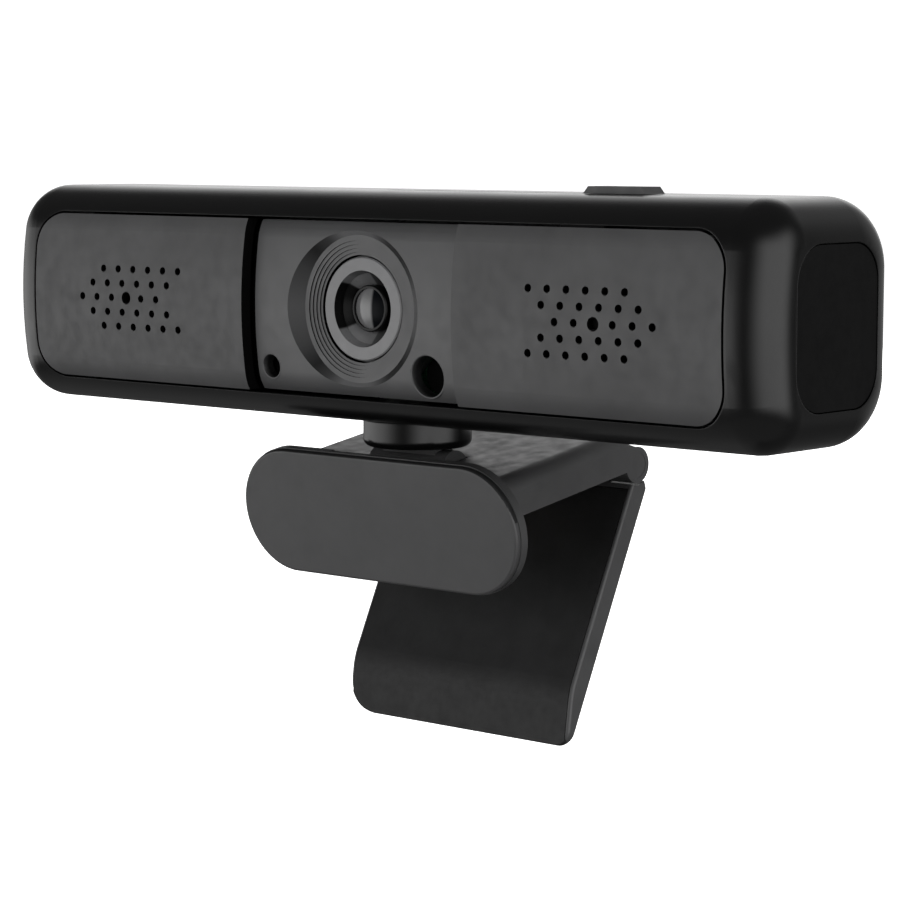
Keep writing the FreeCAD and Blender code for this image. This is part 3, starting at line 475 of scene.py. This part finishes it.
def port_rim(name, window, radius, sunk):
    """Lip and wall of a port beside the lens; its lower edge stands proud, because it follows crown()."""
    centre = middle(window)
    plate_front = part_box("lens_plate")[0].y
    section = ((0.12, sunk + 0.03), (0.06, sunk), (-0.03, sunk), (-0.09, sunk + 0.04), (-0.12, 0.8))
    mesh = bmesh.new()
    rings = []
    for grow, depth in section:
        ring = []
        for k in range(RIM_SIDES):
            turn = 2 * math.pi * k / RIM_SIDES
            x = centre.x + (radius + grow) * MM * math.cos(turn)
            z = centre.z + (radius + grow) * MM * math.sin(turn)
            ring.append(mesh.verts.new((x, plate_front + crown(z) + depth * MM, z)))
        rings.append(ring)
    for outer, inner in zip(rings, rings[1:]):
        for k in range(RIM_SIDES):
            after = (k + 1) % RIM_SIDES
            face = mesh.faces.new((outer[k], outer[after], inner[after], inner[k]))
            face.smooth = True
            # the deepest band of the rim takes port_wall, painted darker as shade
            face.material_index = 1 if inner is rings[-1] else 0
    add_piece(name, mesh, "camera_head", "plate_satin", "port_wall")


# shutter blade, in metres; heights are measured from the lens axis
BLADE_THICK = 0.38 * MM
BLADE_HALF = 10.5 * MM
BLADE_TOP = 10.0 * MM
BLADE_STEPS = 24
ARM_X = (31.1 * MM, 37.1 * MM)
ARM_Z = (10.35 * MM, 10.95 * MM)
ARM_SET_BACK = 1.7 * MM
STEM_DEPTH = 0.8 * MM


def crowned_slab(mesh, x, z, front, steps):
    """Slab between two x and two z values, bent to crown()."""
    rows = []
    for k in range(steps + 1):
        height = z[0] + (z[1] - z[0]) * k / steps
        y = front + crown(height)
        rows.append([mesh.verts.new(corner) for corner in (
            (x[0], y, height), (x[1], y, height),
            (x[1], y + BLADE_THICK, height), (x[0], y + BLADE_THICK, height))])
    mesh.faces.new(rows[0][::-1])
    mesh.faces.new(rows[-1])
    for under, over in zip(rows, rows[1:]):
        for k in range(4):
            after = (k + 1) % 4
            mesh.faces.new((under[k], under[after], over[after], over[k]))


def block(mesh, *spans):
    """Box between two values on each axis."""
    made = bmesh.ops.create_cube(mesh, size=1.0)
    for vertex in made["verts"]:
        vertex.co = [low if value < 0 else high for value, (low, high) in zip(vertex.co, spans)]


def shutter_blade():
    """Shutter blade with its arm; it follows crown(), so its edges lie in front of the CAD blade's."""
    low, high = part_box("shutter_plate")
    blade_middle = low.x + BLADE_HALF
    blade_top = LENS_AXIS.z + BLADE_TOP
    arm_z = tuple(LENS_AXIS.z + height for height in ARM_Z)
    mesh = bmesh.new()
    crowned_slab(mesh, (blade_middle - BLADE_HALF, blade_middle + BLADE_HALF), (low.z, blade_top), low.y,
                 BLADE_STEPS)
    crowned_slab(mesh, ARM_X, (blade_top - 0.1 * MM, arm_z[1]), low.y, 2)
    block(mesh, ARM_X, (low.y + ARM_SET_BACK, high.y), arm_z)
    block(mesh, ARM_X, (high.y - STEM_DEPTH, high.y), (arm_z[0], high.z))
    blade = add_piece("shutter_blade", mesh, "privacy_shutter", "inset_matt")
    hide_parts("shutter_plate")


shutter_blade()
port_rim("led_port_rim", "led_window", 1.5, -0.015)
port_rim("sensor_port_rim", "sensor_window", 2.52, 0.06)


# ---------------------------------------------------------------- studio
# screens: azimuths in degrees from straight in front, heights as sines of the elevation, soft at both ends
LEFT_LEVEL, LEFT_SIDES, LEFT_HEIGHTS = 1.6, ((-135, -55), (-42, 8)), ((-0.45, -0.2), (-0.05, 0.34))
RIGHT_LEVEL, RIGHT_SIDES, RIGHT_HEIGHTS = 1.6, ((12, 60), (102, 135)), ((-0.5, -0.2), (0.35, 0.75))
BACK_LEVEL, BACK_SIDES, BACK_HEIGHTS = 1.25, ((-176, -150), (-136, -110)), ((-0.05, 0.1), (0.3, 0.8))
REAR_LEVEL, REAR_SIDES, REAR_HEIGHTS = 0.25, ((140, 165), (200, 201)), ((-0.5, -0.2), (0.5, 0.8))
LOW_LEVEL, LOW_SIDES, LOW_HEIGHTS = 0.1, ((-2, -1), (110, 150)), ((-1.2, -1.1), (-0.75, -0.4))
AMBIENT = 0.085
FLOOR_DROP = 25 * MM            # the floor lies this far below the object


def studio_floor(low_z):
    """Pale round floor with a rim that curves up into a wall."""
    inner_radius, flat_radius, bend_radius, wall_height, sides, bend_steps = 0.9, 1.6, 0.8, 1.6, 96, 12
    profile = [(inner_radius, 0.0), (flat_radius, 0.0)]
    for step in range(1, bend_steps + 1):
        angle = step / bend_steps * math.pi / 2
        profile.append((flat_radius + bend_radius * math.sin(angle), bend_radius * (1 - math.cos(angle))))
    profile.append((flat_radius + bend_radius, bend_radius + wall_height))
    mesh = bmesh.new()
    rings = []
    for radius, height in profile:
        turns = [2 * math.pi * k / sides for k in range(sides)]
        rings.append([mesh.verts.new((radius * math.cos(turn), radius * math.sin(turn), low_z + height))
                      for turn in turns])
    mesh.faces.new(rings[0])
    for inner, outer in zip(rings, rings[1:]):
        for k in range(sides):
            mesh.faces.new((inner[k], outer[k], outer[(k + 1) % sides], inner[(k + 1) % sides]))
    data = bpy.data.meshes.new("studio_floor")
    mesh.to_mesh(data)
    mesh.free()
    floor = bpy.data.objects.new("studio_floor", data)
    bpy.context.scene.collection.objects.link(floor)
    shader = Shader("studio_floor")
    shader.set(Base_Color=(0.9, 0.9, 0.9, 1), Roughness=0.9, Specular_IOR_Level=0.0,
               Emission_Color=(1, 1, 1, 1), Emission_Strength=0.9)
    shader.material.cycles.emission_sampling = "NONE"
    data.materials.append(shader.material)
    floor.visible_glossy = False
    floor.visible_diffuse = False


# fills, as name, place in metres, size in metres and power in watts
FILLS = (
    ("front_fill", (-0.1, -0.85, 0.0), 0.7, 6.6),
    ("right_fill", (0.9, -0.1, 0.1), 0.6, 6.5),
    ("top_fill", (-0.05, 0.0, 0.9), 0.7, 3.4),
    ("back_fill", (-0.3, 0.85, 0.3), 0.7, 4.0),
    ("left_fill", (-0.9, 0.0, 0.2), 0.6, 3.0),
)


def fill_light(name, place, size, power):
    """Wide softbox that fills the matt surfaces and stays out of the reflections."""
    light = bpy.data.lights.new(name, "AREA")
    light.shape = "SQUARE"
    light.size = size
    light.energy = power
    lamp = bpy.data.objects.new(name, light)
    bpy.context.scene.collection.objects.link(lamp)
    start = Vector(place)
    lamp.matrix_world = Matrix.Translation(start) @ (-start).to_track_quat("-Z", "Y").to_matrix().to_4x4()
    lamp.visible_glossy = False
    lamp.visible_camera = False


def studio_world():
    """Surroundings seen in the gloss: soft screens left, right and behind, and a faint band below."""
    world = bpy.data.worlds.new("studio_world")
    bpy.context.scene.world = world
    world.use_nodes = True
    tree = world.node_tree
    links = tree.links

    def node(kind, **values):
        made = tree.nodes.new(kind)
        for key, value in values.items():
            setattr(made, key, value)
        return made

    def calc(operation, *inputs):
        made = node("ShaderNodeMath", operation=operation)
        for socket, value in zip(made.inputs, inputs):
            if isinstance(value, (int, float)):
                socket.default_value = value
            else:
                links.new(value, socket)
        return made.outputs["Value"]

    def step(value, start, end):
        made = node("ShaderNodeMapRange", interpolation_type="SMOOTHSTEP")
        made.inputs["From Min"].default_value = start
        made.inputs["From Max"].default_value = end
        links.new(value, made.inputs["Value"])
        return made.outputs["Result"]

    def window(value, rise, fall):
        return calc("MULTIPLY", step(value, *rise), calc("SUBTRACT", 1.0, step(value, *fall)))

    split = node("ShaderNodeSeparateXYZ")
    links.new(node("ShaderNodeTexCoord").outputs["Generated"], split.inputs["Vector"])
    across, depth, height = split.outputs
    azimuth = calc("MULTIPLY", calc("ARCTAN2", across, calc("MULTIPLY", depth, -1.0)), 180 / math.pi)
    around = calc("ABSOLUTE", azimuth)
    level = AMBIENT
    for weight, angle, sides, heights in (
        (LEFT_LEVEL, azimuth, LEFT_SIDES, LEFT_HEIGHTS),
        (RIGHT_LEVEL, azimuth, RIGHT_SIDES, RIGHT_HEIGHTS),
        (BACK_LEVEL, azimuth, BACK_SIDES, BACK_HEIGHTS),
        (REAR_LEVEL, around, REAR_SIDES, REAR_HEIGHTS),
        (LOW_LEVEL, around, LOW_SIDES, LOW_HEIGHTS),
    ):
        screen = calc("MULTIPLY", window(angle, *sides), window(height, *heights))
        level = calc("ADD", level, calc("MULTIPLY", screen, weight))
    seen = node("ShaderNodeLightPath").outputs["Is Camera Ray"]
    links.new(calc("MAXIMUM", level, seen), tree.nodes["Background"].inputs["Strength"])
    tree.nodes["Background"].inputs["Color"].default_value = (1, 1, 1, 1)


CAMERA_ANGLES = (40.958, 6.168, 0.156)     # azimuth, elevation and roll in degrees
CAMERA_AIM = (16.755, -19.05, 7.627)       # millimetres
CAMERA_DISTANCE = 328.78                   # millimetres
CAMERA_LENS = 115.25                       # focal length in millimetres


def photo_camera():
    """Long lens in front, to the right and a little above."""
    azimuth, elevation, roll = (math.radians(angle) for angle in CAMERA_ANGLES)
    aim = Vector(CAMERA_AIM) * MM
    distance = CAMERA_DISTANCE * MM
    back = Vector((math.sin(azimuth) * math.cos(elevation), -math.cos(azimuth) * math.cos(elevation),
                   math.sin(elevation)))
    right = Vector((0, 0, 1)).cross(back).normalized()
    up = back.cross(right)
    turned_right = right * math.cos(roll) + up * math.sin(roll)
    turned_up = up * math.cos(roll) - right * math.sin(roll)
    data = bpy.data.cameras.new("camera")
    data.sensor_width = 36.0
    data.lens = CAMERA_LENS
    data.clip_start = 0.01
    data.clip_end = 20.0
    camera = bpy.data.objects.new("camera", data)
    bpy.context.scene.collection.objects.link(camera)
    camera.matrix_world = Matrix.Translation(aim + back * distance) @ Matrix(
        (turned_right, turned_up, back)).transposed().to_4x4()
    bpy.context.scene.camera = camera


studio_floor(CAD_BOX[0][2] - FLOOR_DROP)
studio_world()
for name, place, size, power in FILLS:
    fill_light(name, place, size, power)
photo_camera()

scene = bpy.context.scene
scene.view_settings.view_transform = "Standard"
